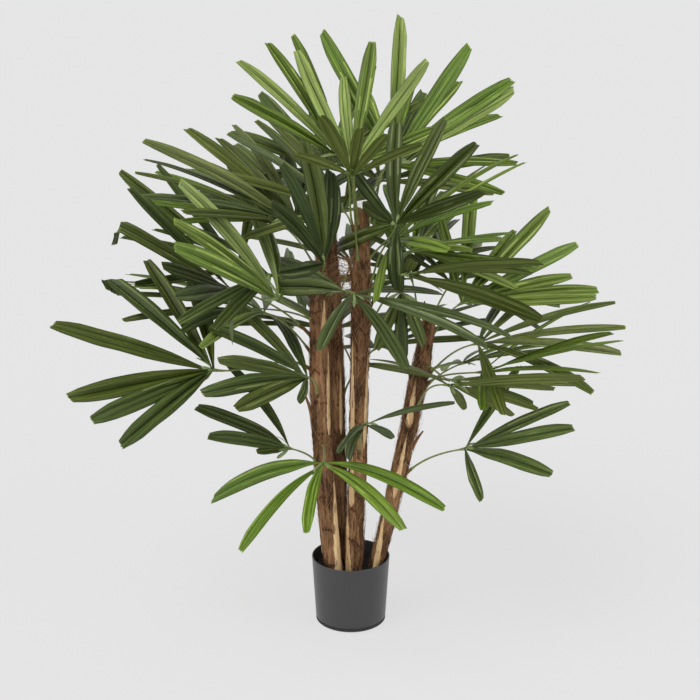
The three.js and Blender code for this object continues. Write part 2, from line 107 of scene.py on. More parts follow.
# Pot: a thin round nursery pot moulded in dark grey plastic, with a plain rim, a rounded foot
# and a faint grain from the mould. It stands flat on the floor.
POT_HEIGHT = 0.137
POT_RIM_RADIUS = 0.0765
POT_BASE_RADIUS = 0.0685
POT_WALL = 0.0024
POT_FLOOR = 0.003
POT_FOOT_ROUND = 0.005
POT_RECESS = 0.0012
POT_RECESS_RADIUS = 0.050
POT_RECESS_SLOPE = 0.0015
POT_SIDES = 128
POT_RINGS_OUTSIDE, POT_RINGS_INSIDE = 14, 10
POT_AXIS = 0.0002
GLOSS_WANDER = 0.12
MOTTLE_SHARE = 0.6
# Where the colour ramp turns: dark, light, light when painted sheen streaks follow, and the pale streaks of
# painted sheen.
DARK_STEP, LIGHT_STEP, LIGHT_STEP_UNDER_SHEEN, SHEEN_STREAK_STEP = 0.36, 0.64, 0.6, 0.68


def make_piece(name, points, facets, finishes, finish_of=None, marks=None, sharp=55):
    """A mesh piece: facets holds one array of corner numbers for each number of corners."""
    mesh = bpy.data.meshes.new(name)
    corners = np.concatenate([facet.ravel() for facet in facets]).astype(np.int32)
    sizes = np.concatenate([np.full(len(facet), facet.shape[1]) for facet in facets])
    mesh.vertices.add(len(points))
    mesh.vertices.foreach_set("co", np.asarray(points, np.float32).ravel())
    mesh.loops.add(len(corners))
    mesh.loops.foreach_set("vertex_index", corners)
    mesh.polygons.add(len(sizes))
    mesh.polygons.foreach_set("loop_start", np.concatenate([[0], np.cumsum(sizes)[:-1]]).astype(np.int32))
    mesh.polygons.foreach_set("use_smooth", np.ones(len(sizes), bool))
    for finish in finishes:
        mesh.materials.append(finish)
    if finish_of is not None:
        mesh.polygons.foreach_set("material_index", np.asarray(finish_of, np.int32))
    if marks is not None:
        layer = mesh.uv_layers.new(name="Grain")
        layer.data.foreach_set("uv", np.asarray(marks, np.float32)[corners].ravel())
    mesh.update(calc_edges=True)
    mesh.validate()
    mesh.set_sharp_from_angle(angle=math.radians(sharp))
    piece = bpy.data.objects.new(name, mesh)
    scene.collection.objects.link(piece)
    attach(piece, "root")
    return piece


def stretched_noise(finish, place, stretch, detail):
    """The heights of a noise that is stretched over a finish."""
    nodes, links = finish.node_tree.nodes, finish.node_tree.links
    scale = nodes.new("ShaderNodeMapping")
    scale.inputs["Scale"].default_value = stretch
    links.new(place, scale.inputs["Vector"])
    noise = nodes.new("ShaderNodeTexNoise")
    noise.inputs["Scale"].default_value = 1
    noise.inputs["Detail"].default_value = detail
    links.new(scale.outputs["Vector"], noise.inputs["Vector"])
    return noise.outputs["Fac"]


def grained_finish(name, light, dark, roughness, stretch, depth=0.0, along="Object", mottle=None,
                   shine=0.5, pale=None):
    """A finish whose colour runs from dark to light, and to pale streaks of painted sheen, with a stretched
    grain.
    """
    finish = bpy.data.materials.new(name)
    finish.use_nodes = True
    nodes, links = finish.node_tree.nodes, finish.node_tree.links
    shader = nodes["Principled BSDF"]
    shader.inputs["Specular IOR Level"].default_value = shine
    if along == "Object":
        place = nodes.new("ShaderNodeTexCoord").outputs["Object"]
    else:
        grain_map = nodes.new("ShaderNodeUVMap")
        grain_map.uv_map = along
        place = grain_map.outputs["UV"]
    grain = stretched_noise(finish, place, stretch, 3)
    mixed = grain
    if mottle:
        fine, both = nodes.new("ShaderNodeMath"), nodes.new("ShaderNodeMath")
        fine.operation, both.operation = "MULTIPLY", "MULTIPLY_ADD"
        fine.inputs[1].default_value, both.inputs[1].default_value = 1 - MOTTLE_SHARE, MOTTLE_SHARE
        links.new(grain, fine.inputs[0])
        links.new(stretched_noise(finish, place, mottle, 2), both.inputs[0])
        links.new(fine.outputs["Value"], both.inputs[2])
        mixed = both.outputs["Value"]
    tone = nodes.new("ShaderNodeValToRGB")
    low, high = tone.color_ramp.elements
    low.position, low.color = DARK_STEP, (*dark, 1)
    high.position, high.color = LIGHT_STEP_UNDER_SHEEN if pale else LIGHT_STEP, (*light, 1)
    if pale:
        tone.color_ramp.elements.new(SHEEN_STREAK_STEP).color = (*pale, 1)
    links.new(mixed, tone.inputs["Fac"])
    links.new(tone.outputs["Color"], shader.inputs["Base Color"])
    gloss = nodes.new("ShaderNodeMapRange")
    gloss.inputs["To Min"].default_value = roughness + GLOSS_WANDER / 2
    gloss.inputs["To Max"].default_value = roughness - GLOSS_WANDER / 2
    links.new(grain, gloss.inputs["Value"])
    links.new(gloss.outputs["Result"], shader.inputs["Roughness"])
    if depth:
        relief = nodes.new("ShaderNodeBump")
        relief.inputs["Strength"].default_value = 0.5
        relief.inputs["Distance"].default_value = depth
        links.new(grain, relief.inputs["Height"])
        links.new(relief.outputs["Normal"], shader.inputs["Normal"])
    return finish


def grid_of(*counts):
    """The index numbers of a grid's points, as one flat array for each direction."""
    return [numbers.ravel() for numbers in np.meshgrid(*map(np.arange, counts), indexing="ij")]


def ring_wall(rings, sides):
    """Facets of a wall of closed rings, and the two flat faces that close it."""
    ring, side = grid_of(rings - 1, sides)
    low, after = ring * sides, (side + 1) % sides
    wall = np.stack([low + side, low + after, low + sides + after, low + sides + side], -1)
    first = np.arange(sides)[None]
    return [wall, first[:, ::-1], first + (rings - 1) * sides]


def turned_points(profile, sides):
    """Points of a profile of radii and heights turned round the upright axis."""
    around = np.arange(sides) * 2 * math.pi / sides
    radii, heights = np.array(profile).T[:, :, None]
    return np.stack([radii * np.cos(around), radii * np.sin(around), heights + 0 * around], -1).reshape(-1, 3)


def pot_radius(height):
    return POT_BASE_RADIUS + (POT_RIM_RADIUS - POT_BASE_RADIUS) * height / POT_HEIGHT


foot_arc = [math.radians(-90 + 15 * i) for i in range(7)]
rim_arc = [math.radians(180 / 8 * i) for i in range(9)]
pot_profile = [
    (POT_AXIS, POT_RECESS), (POT_RECESS_RADIUS, POT_RECESS), (POT_RECESS_RADIUS + POT_RECESS_SLOPE, 0),
    *[(pot_radius(0) - POT_FOOT_ROUND * (1 - math.cos(a)), POT_FOOT_ROUND * (1 + math.sin(a)))
      for a in foot_arc],
    *[(pot_radius(h), h) for h in np.linspace(0.012, POT_HEIGHT - 0.003, POT_RINGS_OUTSIDE)],
    *[(POT_RIM_RADIUS - POT_WALL / 2 * (1 - math.cos(a)), POT_HEIGHT - POT_WALL / 2 * (1 - math.sin(a)))
      for a in rim_arc],
    *[(pot_radius(h) - POT_WALL, h)
      for h in np.linspace(POT_HEIGHT - 0.004, POT_FLOOR, POT_RINGS_INSIDE)],
    (POT_AXIS, POT_FLOOR),
]
pot_finish = grained_finish("pot plastic", (0.043, 0.043, 0.045), (0.032, 0.032, 0.034), 0.38,
                            (420, 420, 420), depth=0.0002)
pot = make_piece("pot_shell", turned_points(pot_profile, POT_SIDES), ring_wall(len(pot_profile), POT_SIDES),
                 [pot_finish])
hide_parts("pot")

# Fill: the ballast in the pot, with a dark crumbly top layer that hides it, about a finger's
# width below the rim. Loose crumbs lie on it round the stems.
FILL_TOP = 0.112
FILL_RADIUS = pot_radius(FILL_TOP) - POT_WALL - 0.0006
FILL_RINGS, FILL_SIDES = 26, 110
FILL_FOOT_SHARE = 0.955
FILL_LUMPS, FILL_GRIT = 0.0016, 0.0011
FILL_CRUMBS = 420
CRUMB_SIZE = (0.0008, 0.0026)
CRUMB_SKEW = 0.6
CRUMB_AREA = 0.96
CRUMB_LEVELS = (-0.0004, 0.0012)


def patchy(rng, across, down, x, y):
    """Smooth random heights from -1 to 1 on a grid of cells; x runs round once from 0 to 1."""
    table = rng.uniform(-1, 1, (down + 2, across))
    column = (x % 1.0) * across
    row = np.clip(y, 0, 0.9999) * down
    c, r = np.floor(column).astype(int), np.floor(row).astype(int)
    fc, fr = column - c, row - r
    fc, fr = fc * fc * (3 - 2 * fc), fr * fr * (3 - 2 * fr)
    left, right = c % across, (c + 1) % across
    low = table[r, left] * (1 - fc) + table[r, right] * fc
    high = table[r + 1, left] * (1 - fc) + table[r + 1, right] * fc
    return low * (1 - fr) + high * fr


fill_rng = np.random.default_rng(5)
share, around = np.meshgrid(
    np.linspace(0.02, 1, FILL_RINGS), np.arange(FILL_SIDES) / FILL_SIDES, indexing="ij")
lumps = FILL_LUMPS * patchy(fill_rng, 9, 5, around, share)
lumps = lumps + FILL_GRIT * patchy(fill_rng, 34, 13, around, share)
turn = 2 * math.pi * around
top = np.stack([share * FILL_RADIUS * np.cos(turn), share * FILL_RADIUS * np.sin(turn),
                FILL_TOP - 0.002 + lumps], -1).reshape(-1, 3)
foot = top[-FILL_SIDES:] * [FILL_FOOT_SHARE, FILL_FOOT_SHARE, 0] + [0, 0, POT_FLOOR + 0.0003]
wall, middle, underside = ring_wall(FILL_RINGS + 1, FILL_SIDES)
soil_finish = grained_finish("dark top layer", (0.030, 0.025, 0.021), (0.009, 0.008, 0.007), 0.9,
                             (600, 600, 600), depth=0.0004)
fill = make_piece("fill_top", np.concatenate([top, foot]),
                  [wall[:, [0, 3, 2, 1]], middle[:, ::-1], underside[:, ::-1]], [soil_finish])
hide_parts("fill")

LUMP = np.array([(1, 0, 0), (0, 1, 0), (-1, 0, 0), (0, -1, 0), (0, 0, 1), (0, 0, -1)], float)
LUMP_FACETS = np.array([(0, 1, 4), (1, 2, 4), (2, 3, 4), (3, 0, 4),
                        (1, 0, 5), (2, 1, 5), (3, 2, 5), (0, 3, 5)])
crumb_dice = random.Random(11)
crumb_points, crumb_facets = [], []
for i in range(FILL_CRUMBS):
    far = FILL_RADIUS * CRUMB_AREA * math.sqrt(crumb_dice.random())
    turn = crumb_dice.uniform(0, 2 * math.pi)
    size = np.array([crumb_dice.uniform(*CRUMB_SIZE) for _ in range(3)])
    level = FILL_TOP - 0.001 + crumb_dice.uniform(*CRUMB_LEVELS)
    skew = np.eye(3)
    skew[0, 1] = crumb_dice.uniform(-CRUMB_SKEW, CRUMB_SKEW)
    skew[1, 2] = crumb_dice.uniform(-CRUMB_SKEW, CRUMB_SKEW)
    crumb_points.append((LUMP * size) @ skew + (far * math.cos(turn), far * math.sin(turn), level))
    crumb_facets.append(LUMP_FACETS + i * len(LUMP))
bark_crumb = grained_finish("bark crumb", (0.060, 0.042, 0.028), (0.018, 0.014, 0.011), 0.9, (300, 300, 300))
crumbs = make_piece("fill_crumbs", np.concatenate(crumb_points), [np.concatenate(crumb_facets)],
                    [bark_crumb], sharp=20)
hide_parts("fill")

# Stems: four hard cores wrapped in layers of brown palm fibre, each layer with a ragged lower
# edge over the one below. They are set in the ballast and lean apart a little.
STEM_FOOT = FILL_TOP + 0.0003
STEMS = {
    "a": dict(foot=(-33, -22), middle=(-58, -10, 460), tip=(-50, -12, 757), radius=(18, 19, 9)),
    "b": dict(foot=(-20, 18), middle=(-27, 21, 454), tip=(-38, 28, 768), radius=(15, 16, 8)),
    "c": dict(foot=(6, -15), middle=(16, -2, 460), tip=(20, 2, 830), radius=(17, 18, 9)),
    "d": dict(foot=(48, -12), middle=(101, -8, 352), tip=(147, 0, 612), radius=(14, 18, 10)),
}
STEM_CROWN = 0.84
WRAP_LAYER = 0.062
WRAP_SIDES = 84
WRAP_ROW = 0.0024
WRAP_EDGE_WAVE, WRAP_EDGE_RAGS = 0.014, 0.006
WRAP_INSET = 0.0014
WRAP_LAP, WRAP_SWELL, WRAP_CORDS, WRAP_FINE = 0.0012, 0.0010, 0.0011, 0.0004
CORD_LEAN = 2.2
PATCH_FINE = 0.6
# Tan fibre where the patches run above the first step, dark fibre where they run below the second, and
# painted shade in dark fibre where the lap runs above the third.
TAN_ABOVE, DARK_BELOW, PAINTED_LAP_SHADE = 0.56, -0.27, 0.9
STRANDS, STRAND_STEPS, STRAND_SIDES = 640, 7, 3
STRAND_LENGTH = (0.015, 0.075)
STRAND_GIRTH = (0.00022, 0.00045)
STRAND_SLANT, STRAND_SLANT_SPREAD = 0.6, 0.3
STRAND_LIFT, STRAND_CURL, STRAND_PROUD = 0.0013, 2.2, 0.0006
STRAND_TAPER = 0.6
STRAND_ROUND = 0.018
TUFT_FROM, TUFT_RISE = 0.86, 0.35
fibre_tones = [
    grained_finish(name, light, dark, roughness, (620, 620, 15), depth=depth, mottle=(60, 60, 22), shine=0.2)
    for name, light, dark, roughness, depth in (
        ("palm fibre", (0.320, 0.168, 0.077), (0.085, 0.040, 0.019), 0.85, 0.0006),
        ("dark fibre and lap shade", (0.135, 0.064, 0.027), (0.030, 0.015, 0.008), 0.9, 0.0006),
        ("tan fibre", (0.43, 0.25, 0.125), (0.23, 0.12, 0.056), 0.8, 0.0004),
    )
]
PALM_FIBRE, DARK_FIBRE_AND_LAP_SHADE, TAN_FIBRE = range(3)


def stem_centre(stem, t):
    """Points on a stem's middle line; t is a number or an array from foot (0) to tip (1)."""
    shape = STEMS[stem]
    start = np.array([*shape["foot"], STEM_FOOT * 1000]) / 1000
    middle, end = np.array(shape["middle"]) / 1000, np.array(shape["tip"]) / 1000
    bow = 2 * middle - (start + end) / 2
    t = np.asarray(t, float)[..., None]
    return (1 - t) ** 2 * start + 2 * t * (1 - t) * bow + t * t * end


def stem_radius(stem, t):
    return np.interp(t, [0, STEM_CROWN, 1], STEMS[stem]["radius"]) / 1000


def round_stem(stem, t, far, turn):
    """Points at a distance far from a stem's middle line, in the level direction turn."""
    return stem_centre(stem, t) + np.stack([far * np.cos(turn), far * np.sin(turn), 0 * far], -1)


def strand_tubes(paths, radii, sides=STRAND_SIDES):
    """Thin tubes along paths, joined in one mesh: paths is (strands, steps, 3)."""
    count, steps, _ = paths.shape
    ahead = np.gradient(paths, axis=1)
    ahead /= np.linalg.norm(ahead, axis=2, keepdims=True) + 1e-12
    aside = np.cross(ahead, np.array([0.31, 0.52, 0.79]))
    aside /= np.linalg.norm(aside, axis=2, keepdims=True) + 1e-12
    other = np.cross(ahead, aside)
    angle = np.arange(sides) * 2 * math.pi / sides
    points = (paths[:, :, None]
              + aside[:, :, None] * (np.cos(angle)[:, None] * radii[..., None, None])
              + other[:, :, None] * (np.sin(angle)[:, None] * radii[..., None, None]))
    strand, step, side = grid_of(count, steps - 1, sides)
    base, after = (strand * steps + step) * sides, (side + 1) % sides
    tubes = np.stack([base + side, base + after, base + sides + after, base + sides + side], -1)
    first = (np.arange(count) * steps * sides)[:, None]
    last = first + (steps - 1) * sides
    ends = np.concatenate([first + np.arange(sides)[::-1], last + np.arange(sides)])
    return points.reshape(-1, 3), tubes, ends


for number, stem in enumerate(STEMS):
    rng = np.random.default_rng(40 + number)
    height = (stem_centre(stem, 1.0) - stem_centre(stem, 0.0))[2]
    rows = int(height / WRAP_ROW)
    t, around = np.meshgrid(np.linspace(0, 1, rows), np.arange(WRAP_SIDES) / WRAP_SIDES, indexing="ij")
    turn = 2 * math.pi * around
    edge = WRAP_EDGE_WAVE * np.sin(turn + 7 * number) + WRAP_EDGE_RAGS * patchy(rng, 12, 9, around, t)
    lap = 1 - ((t * height + edge) / WRAP_LAYER % 1.0)
    right = np.abs(patchy(rng, 38, rows // 9, around + CORD_LEAN * t, t))
    left = np.abs(patchy(rng, 38, rows // 9, around - CORD_LEAN * t, t))
    relief = (WRAP_LAP * lap ** 2 + WRAP_SWELL * patchy(rng, 5, 11, around, t)
              + WRAP_CORDS * np.maximum(right, left) + WRAP_FINE * patchy(rng, 70, rows // 2, around, t))
    points = round_stem(stem, t, stem_radius(stem, t) - WRAP_INSET + relief, turn)
    patch = (patchy(rng, 5, 9, around, t) + PATCH_FINE * patchy(rng, 42, 14, around, t))[:-1].ravel()
    shade = np.where(patch > TAN_ABOVE, TAN_FIBRE, np.where(patch < DARK_BELOW, DARK_FIBRE_AND_LAP_SHADE, PALM_FIBRE))
    # Painted shade: a dark band along the lower edge of each layer, where it laps over the one below.
    shade = np.where((lap[:-1].ravel() > PAINTED_LAP_SHADE) & (shade == PALM_FIBRE), DARK_FIBRE_AND_LAP_SHADE, shade)
    wrap = make_piece(f"wrap_{stem}", points.reshape(-1, 3), ring_wall(rows, WRAP_SIDES), fibre_tones,
                      finish_of=np.concatenate([shade, [PALM_FIBRE, PALM_FIBRE]]), sharp=80)
    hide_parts(f"stem_{stem}")

    # Loose ends of fibre lie along the wrapping, and a tuft of them stands up at the tip.
    begin = rng.uniform(0.0, 0.97, STRANDS)
    length = rng.uniform(*STRAND_LENGTH, STRANDS)[:, None]
    slant = rng.choice([-STRAND_SLANT, STRAND_SLANT], STRANDS) + rng.normal(0, STRAND_SLANT_SPREAD, STRANDS)
    lift = np.abs(rng.normal(0, STRAND_LIFT, STRANDS))[:, None]
    along = np.linspace(0, 1, STRAND_STEPS)
    at = np.minimum(begin[:, None] + length * along / height, 1.0)
    turn = rng.uniform(0, 2 * math.pi, STRANDS)[:, None] + slant[:, None] * length * along / STRAND_ROUND
    far = stem_radius(stem, at) + STRAND_PROUD + lift * along ** 2 * STRAND_CURL
    paths = round_stem(stem, at, far, turn)
    tuft = begin > TUFT_FROM
    paths[tuft, :, 2] += length[tuft] * along * TUFT_RISE
    girth = rng.uniform(*STRAND_GIRTH, STRANDS)[:, None] * (1 - STRAND_TAPER * along)
    strand_points, tubes, ends = strand_tubes(paths, girth)
    tint = rng.choice([PALM_FIBRE, DARK_FIBRE_AND_LAP_SHADE, TAN_FIBRE, TAN_FIBRE], STRANDS)
    strand_tints = np.concatenate([np.repeat(tint, (STRAND_STEPS - 1) * STRAND_SIDES), tint, tint])
    loose = make_piece(f"loose_fibre_{stem}", strand_points, [tubes, ends], fibre_tones,
                       finish_of=strand_tints)
    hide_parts(f"stem_{stem}")

# Stubs: dry ends of old leaf stalks that stand out of the wrapping, brown and cut short, and a
# close bunch of them at each stem's tip. Each is a thin tapering rod rooted under the fibre.

# Each row: the stem, facing in degrees, place along the stem, length in millimetres, and lean.
STUBS = [
    ("a", 185, 0.45, 52, 0.14),
    ("a", -20, 0.68, 34, 0.24),
    ("a", 120, 0.56, 40, 0.2),
    ("b", 60, 0.72, 38, 0.22),
    ("b", 130, 0.36, 44, 0.16),
    ("c", 10, 0.74, 36, 0.25),
    ("c", 170, 0.83, 42, 0.2),
    ("c", 80, 0.5, 46, 0.18),
    ("d", 5, 0.52, 36, 0.2),
    ("d", 195, 0.8, 30, 0.3),
    ("d", 60, 0.9, 40, 0.24),
]
TIP_STUB_LENGTHS = [66, 48, 74, 54, 62]
STUBS += [(stem, 70 * i + 25, 0.93, length, 0.05)
          for stem in STEMS for i, length in enumerate(TIP_STUB_LENGTHS)]
STUB_RADIUS = np.array([[0.0042, 0.0036, 0.0030, 0.0024, 0.0015]])
STUB_SIDES = 7
STUB_ROOTED = 0.002
for number, (stem, facing, root, length, lean) in enumerate(STUBS):
    rise = np.linspace(0, 1, STUB_RADIUS.size) * length / 1000
    height = STEMS[stem]["tip"][2] / 1000 - STEM_FOOT
    at = root + rise / height
    far = stem_radius(stem, at) - STUB_ROOTED + lean * rise * (1 + rise / rise[-1])
    path = round_stem(stem, at, far, math.radians(facing))
    points, rod, ends = strand_tubes(path[None], STUB_RADIUS, STUB_SIDES)
    piece = make_piece(f"stub_{stem}{number + 1}", points, [rod, ends], [fibre_tones[number % 2]])
    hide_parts(f"stem_{stem}")

# Fibre web: a torn patch of loose palm fibre that bridges the tops of the front left stem and of
# the tallest one. Its threads are rooted in their wrapping, sag a little and cross each other.
WEB_THREADS, WEB_STEPS = 75, 9
WEB_GIRTH = 0.00032
WEB_SAG, WEB_WAVE = 0.012, 0.006
WEB_LEFT, WEB_RIGHT = (0.84, 0.97), (0.76, 0.90)
web_rng = np.random.default_rng(91)
web_way = np.linspace(0, 1, WEB_STEPS)[None, :, None]
web_start = stem_centre("a", web_rng.uniform(*WEB_LEFT, WEB_THREADS))
web_end = stem_centre("c", web_rng.uniform(*WEB_RIGHT, WEB_THREADS))
web_paths = web_start[:, None] * (1 - web_way) + web_end[:, None] * web_way
for size, waves in ((WEB_SAG, 1), (WEB_WAVE, 3)):
    web_paths = web_paths + web_rng.normal(0, size, (WEB_THREADS, 1, 3)) * np.sin(waves * math.pi * web_way)
web_points, web_tubes, web_ends = strand_tubes(web_paths, np.full((WEB_THREADS, WEB_STEPS), WEB_GIRTH))
web = make_piece("fibre_web", web_points, [web_tubes, web_ends], [fibre_tones[TAN_FIBRE]])
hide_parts("stem_c")

# Splints: pale slats of split wood, the cut bases of old leaves, pressed on the wrapping. Each
# runs up to a point. Those that stand in the ballast are widest at the foot, and the foot of the
# others is narrow, flat and worn.

# Each row: the stem, facing at foot and tip in degrees, where it starts and ends along the stem,
# and its width in millimetres.
SPLINTS = [
    ("a", (-57, -14), 0.0, 0.28, 20),
    ("a", (-38, -28), 0.4, 0.67, 13),
    ("a", (-64, -70), 0.69, 0.86, 11),
    ("a", (160, 150), 0.05, 0.4, 13),
    ("a", (95, 110), 0.42, 0.8, 11),
    ("b", (-65, -54), 0.4, 0.62, 8),
    ("b", (80, 95), 0.02, 0.34, 13),
    ("b", (150, 140), 0.4, 0.75, 10),
    ("c", (-134, -165), 0.0, 0.19, 17),
    ("c", (-124, -130), 0.2, 0.36, 16),
    ("c", (-132, -146), 0.4, 0.68, 13),
    ("c", (-46, -36), 0.37, 0.64, 9),
    ("c", (40, 55), 0.06, 0.4, 14),
    ("c", (110, 100), 0.45, 0.8, 12),
    ("d", (-92, -140), 0.0, 0.27, 15),
    ("d", (-92, -99), 0.33, 0.6, 13),
    ("d", (-99, -113), 0.62, 0.81, 14),
    ("d", (60, 72), 0.05, 0.42, 14),
    ("d", (120, 110), 0.45, 0.8, 12),
]
SPLINT_ROWS, SPLINT_COLS = 120, 19
SPLINT_PROUD = 0.002
SPLINT_ROOTED = 0.004
SPLINT_EDGE_DROP = 0.0012
SPLINT_GROOVE = 0.00035
SPLINT_UNEVEN = 0.14
SPLINT_IN_BALLAST = 0.1
SPLINT_GRAIN_RUN = 0.65
WORN_ABOVE = 0.5
split_wood = grained_finish("split wood", (0.74, 0.54, 0.29), (0.43, 0.265, 0.115), 0.62, (900, 24, 1),
                            depth=0.0004, along="Grain", mottle=(160, 9, 1))
# Worn wood, which also serves as painted shade along the splints' edges.
worn_wood_and_edge_shade = grained_finish("worn wood and edge shade", (0.36, 0.225, 0.115), (0.20, 0.115, 0.055), 0.75, (700, 24, 1),
                           depth=0.0004, along="Grain")


def slab_facets(rows, cols):
    """Facets of a closed thin slab of two grids of points: top, underside, and the four edges."""
    below = rows * cols
    row, col = grid_of(rows - 1, cols - 1)
    corner = row * cols + col
    top = np.stack([corner, corner + cols, corner + cols + 1, corner + 1], -1)
    side = np.arange(rows - 1) * cols
    near = np.stack([side, side + below, side + cols + below, side + cols], -1)
    far = np.stack([side, side + cols, side + cols + below, side + below], -1) + cols - 1
    run = np.arange(cols - 1)
    root = np.stack([run, run + 1, run + 1 + below, run + below], -1)
    end = np.stack([run, run + below, run + 1 + below, run + 1], -1) + (rows - 1) * cols
    return np.concatenate([top, top[:, ::-1] + below, near, far, root, end])


slat_rng = np.random.default_rng(77)
for number, (stem, facing, start, end, wide) in enumerate(SPLINTS):
    t, u = np.meshgrid(np.linspace(0, 1, SPLINT_ROWS), np.linspace(-0.5, 0.5, SPLINT_COLS), indexing="ij")
    run = end - start
    at = start + run * t
    foot_width, foot_proud, foot_worn = (0.5, 0.2, 0.7) if start > SPLINT_IN_BALLAST else (1, 1, -0.2)
    width = wide / 1000 * np.interp(t, [0, 0.1, 0.55, 1], [foot_width, 1, 0.8, 0.08])
    width = width * (1 + SPLINT_UNEVEN * patchy(slat_rng, 3, 12, u * 0 + 0.3, t))
    radius = stem_radius(stem, at)
    crest = 1 - (2 * np.abs(u)) ** 4
    groove = SPLINT_GROOVE * patchy(slat_rng, 11, 5, u + 0.5, t)
    proud = SPLINT_PROUD * np.interp(t, [0, 0.1, 0.8, 1], [foot_proud, 1, 0.9, 0.3]) * crest
    proud = proud + groove - SPLINT_EDGE_DROP * (1 - crest)
    turn = np.radians(np.interp(t, [0, 1], facing)) + u * width / radius
    points = np.concatenate([round_stem(stem, at, far, turn).reshape(-1, 3)
                             for far in (radius + proud, radius - SPLINT_ROOTED)])
    facets = slab_facets(SPLINT_ROWS, SPLINT_COLS)[:, [0, 3, 2, 1]]
    worn = patchy(slat_rng, 7, 9, u + 0.5, t) + np.interp(t, [0, 0.12, 0.7, 1], [foot_worn, -0.2, 0, 0.9])
    col = grid_of(SPLINT_ROWS - 1, SPLINT_COLS - 1)[1]
    # Painted shade: the outer column along each long edge of a splint's face is dark, and so are its walls.
    # The patches and the ends are the wood's own wear.
    worn_and_edge_shade = (col < 1) | (col > SPLINT_COLS - 3) | (worn[:-1, :-1].ravel() > WORN_ABOVE)
    grade = np.ones(len(facets), int)
    grade[:len(worn_and_edge_shade)] = worn_and_edge_shade
    marks = np.stack([u * width, t * run * SPLINT_GRAIN_RUN], -1).reshape(-1, 2)
    piece = make_piece(f"splint_{stem}{number + 1}", points, [facets], [split_wood, worn_wood_and_edge_shade],
                       finish_of=grade, marks=np.concatenate([marks, marks]), sharp=40)
    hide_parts(f"stem_{stem}")

# Leaflets: pressed cloth blades, pleated lengthways between paler veins, widest past their middle and
# toothed at the blunt end. Each pleat has painted shade on one side and in its grooves, its paler crest
# is partly painted highlight, and some have a painted sheen. Some are bright and young, the rest dark or
# grey green.
BLADE_ROOT = 2
BLADE_WIDTH = 11
BLADE_WIDTH_PER_LENGTH = 0.062
BLADE_RIB_PER_LENGTH = 0.0105
BLADE_RIB_LEAST = 2
BLADE_LAYER_GAP = 0.5
BLADE_TWIST_OVER = 0.24
BLADE_THICK = 0.5
BLADE_SMALL_WIDTH = 7
EDGE_WAVES, EDGE_UNEVEN = 8, 0.07
BLADE_WIDTHS = (0.92, 1.04)
BLADE_SWAY = 0.018
BLADE_RIPPLE, BLADE_RIPPLES = 1.3, (1.2, 2.6)
BLADE_TWIST_WANDER = 0.25
BLADE_GUTTER, BLADE_GUTTER_SPREAD, BLADE_GUTTER_LIMITS = 13, 9, (-6, 32)
GUTTER_ALONG = ([0, 0.3, 1], [2.0, 1.1, 0.7])
NOTCH_AT_GROOVE, NOTCH_BESIDE, NOTCH_AT_CORNER = (0.008, 0.03), (0, 0.010), (0.01, 0.035)
TIP_SLANT = 0.035
TURN_OVER = math.radians(125)
TURN_ROUND = 4
CREASE_SLANT = 0.05
BLADE_OUTLINE = [(0, 0.10), (0.06, 0.2), (0.15, 0.44), (0.28, 0.72), (0.42, 0.92), (0.55, 1.0), (0.72, 1.0),
                 (0.84, 0.92), (0.93, 0.74), (1, 0.5)]
BLADE_ROWS = np.concatenate([np.linspace(0, 0.9, 18), [0.935, 0.96, 0.98, 0.993, 1.0]])
SMALL_ROWS = np.linspace(0, 1, 8)
PLEAT_STRIPS = [(0.0, 0.0, "groove"), (0.06, 0.24, "blade"), (0.3, 0.8, "blade"), (0.45, 1.0, "rib"),
                (0.54, 1.0, "shade"), (0.7, 0.8, "shade"), (0.94, 0.24, "groove")]
PLEAT_DEPTH = 0.2
PLEAT_ALONG = ([0, 0.3, 0.85, 1], [1.6, 1.1, 0.9, 0.45])
# Painted light and shade: each green has a lighter copy for the lit side of each pleat and a darker copy for
# its shaded side.
LIT_SIDE, SHADED_SIDE = 1.06, 0.84
LIGHT_GRAIN, DARK_GRAIN = 1.25, 0.52
# Painted highlight: pale sheen streaks where the grain runs highest, from the green times this plus this.
SHEEN_STREAK_TIMES, SHEEN_STREAK_PLUS = 2.0, 0.07
PART_LIGHT, PART_DARK = 1.3, 0.65
LEAF_TONES = {
    "deep": [(0.039, 0.057, 0.006), (0.026, 0.042, 0.006), (0.060, 0.082, 0.013), (0.035, 0.057, 0.014)],
    "dark": [(0.060, 0.083, 0.010), (0.037, 0.055, 0.008), (0.086, 0.114, 0.024), (0.052, 0.079, 0.017)],
    "grey": [(0.056, 0.080, 0.020), (0.043, 0.060, 0.013), (0.086, 0.111, 0.034), (0.052, 0.084, 0.028)],
    "olive": [(0.088, 0.115, 0.018), (0.062, 0.087, 0.012), (0.127, 0.158, 0.043), (0.072, 0.108, 0.026)],
    "bright": [(0.118, 0.180, 0.020), (0.086, 0.136, 0.013), (0.190, 0.255, 0.060), (0.095, 0.165, 0.018)],
    "fresh": [(0.104, 0.178, 0.012), (0.086, 0.152, 0.010), (0.135, 0.208, 0.024), (0.094, 0.166, 0.012)],
    "young": [(0.150, 0.214, 0.036), (0.116, 0.172, 0.024), (0.225, 0.290, 0.090), (0.125, 0.200, 0.032)],
}
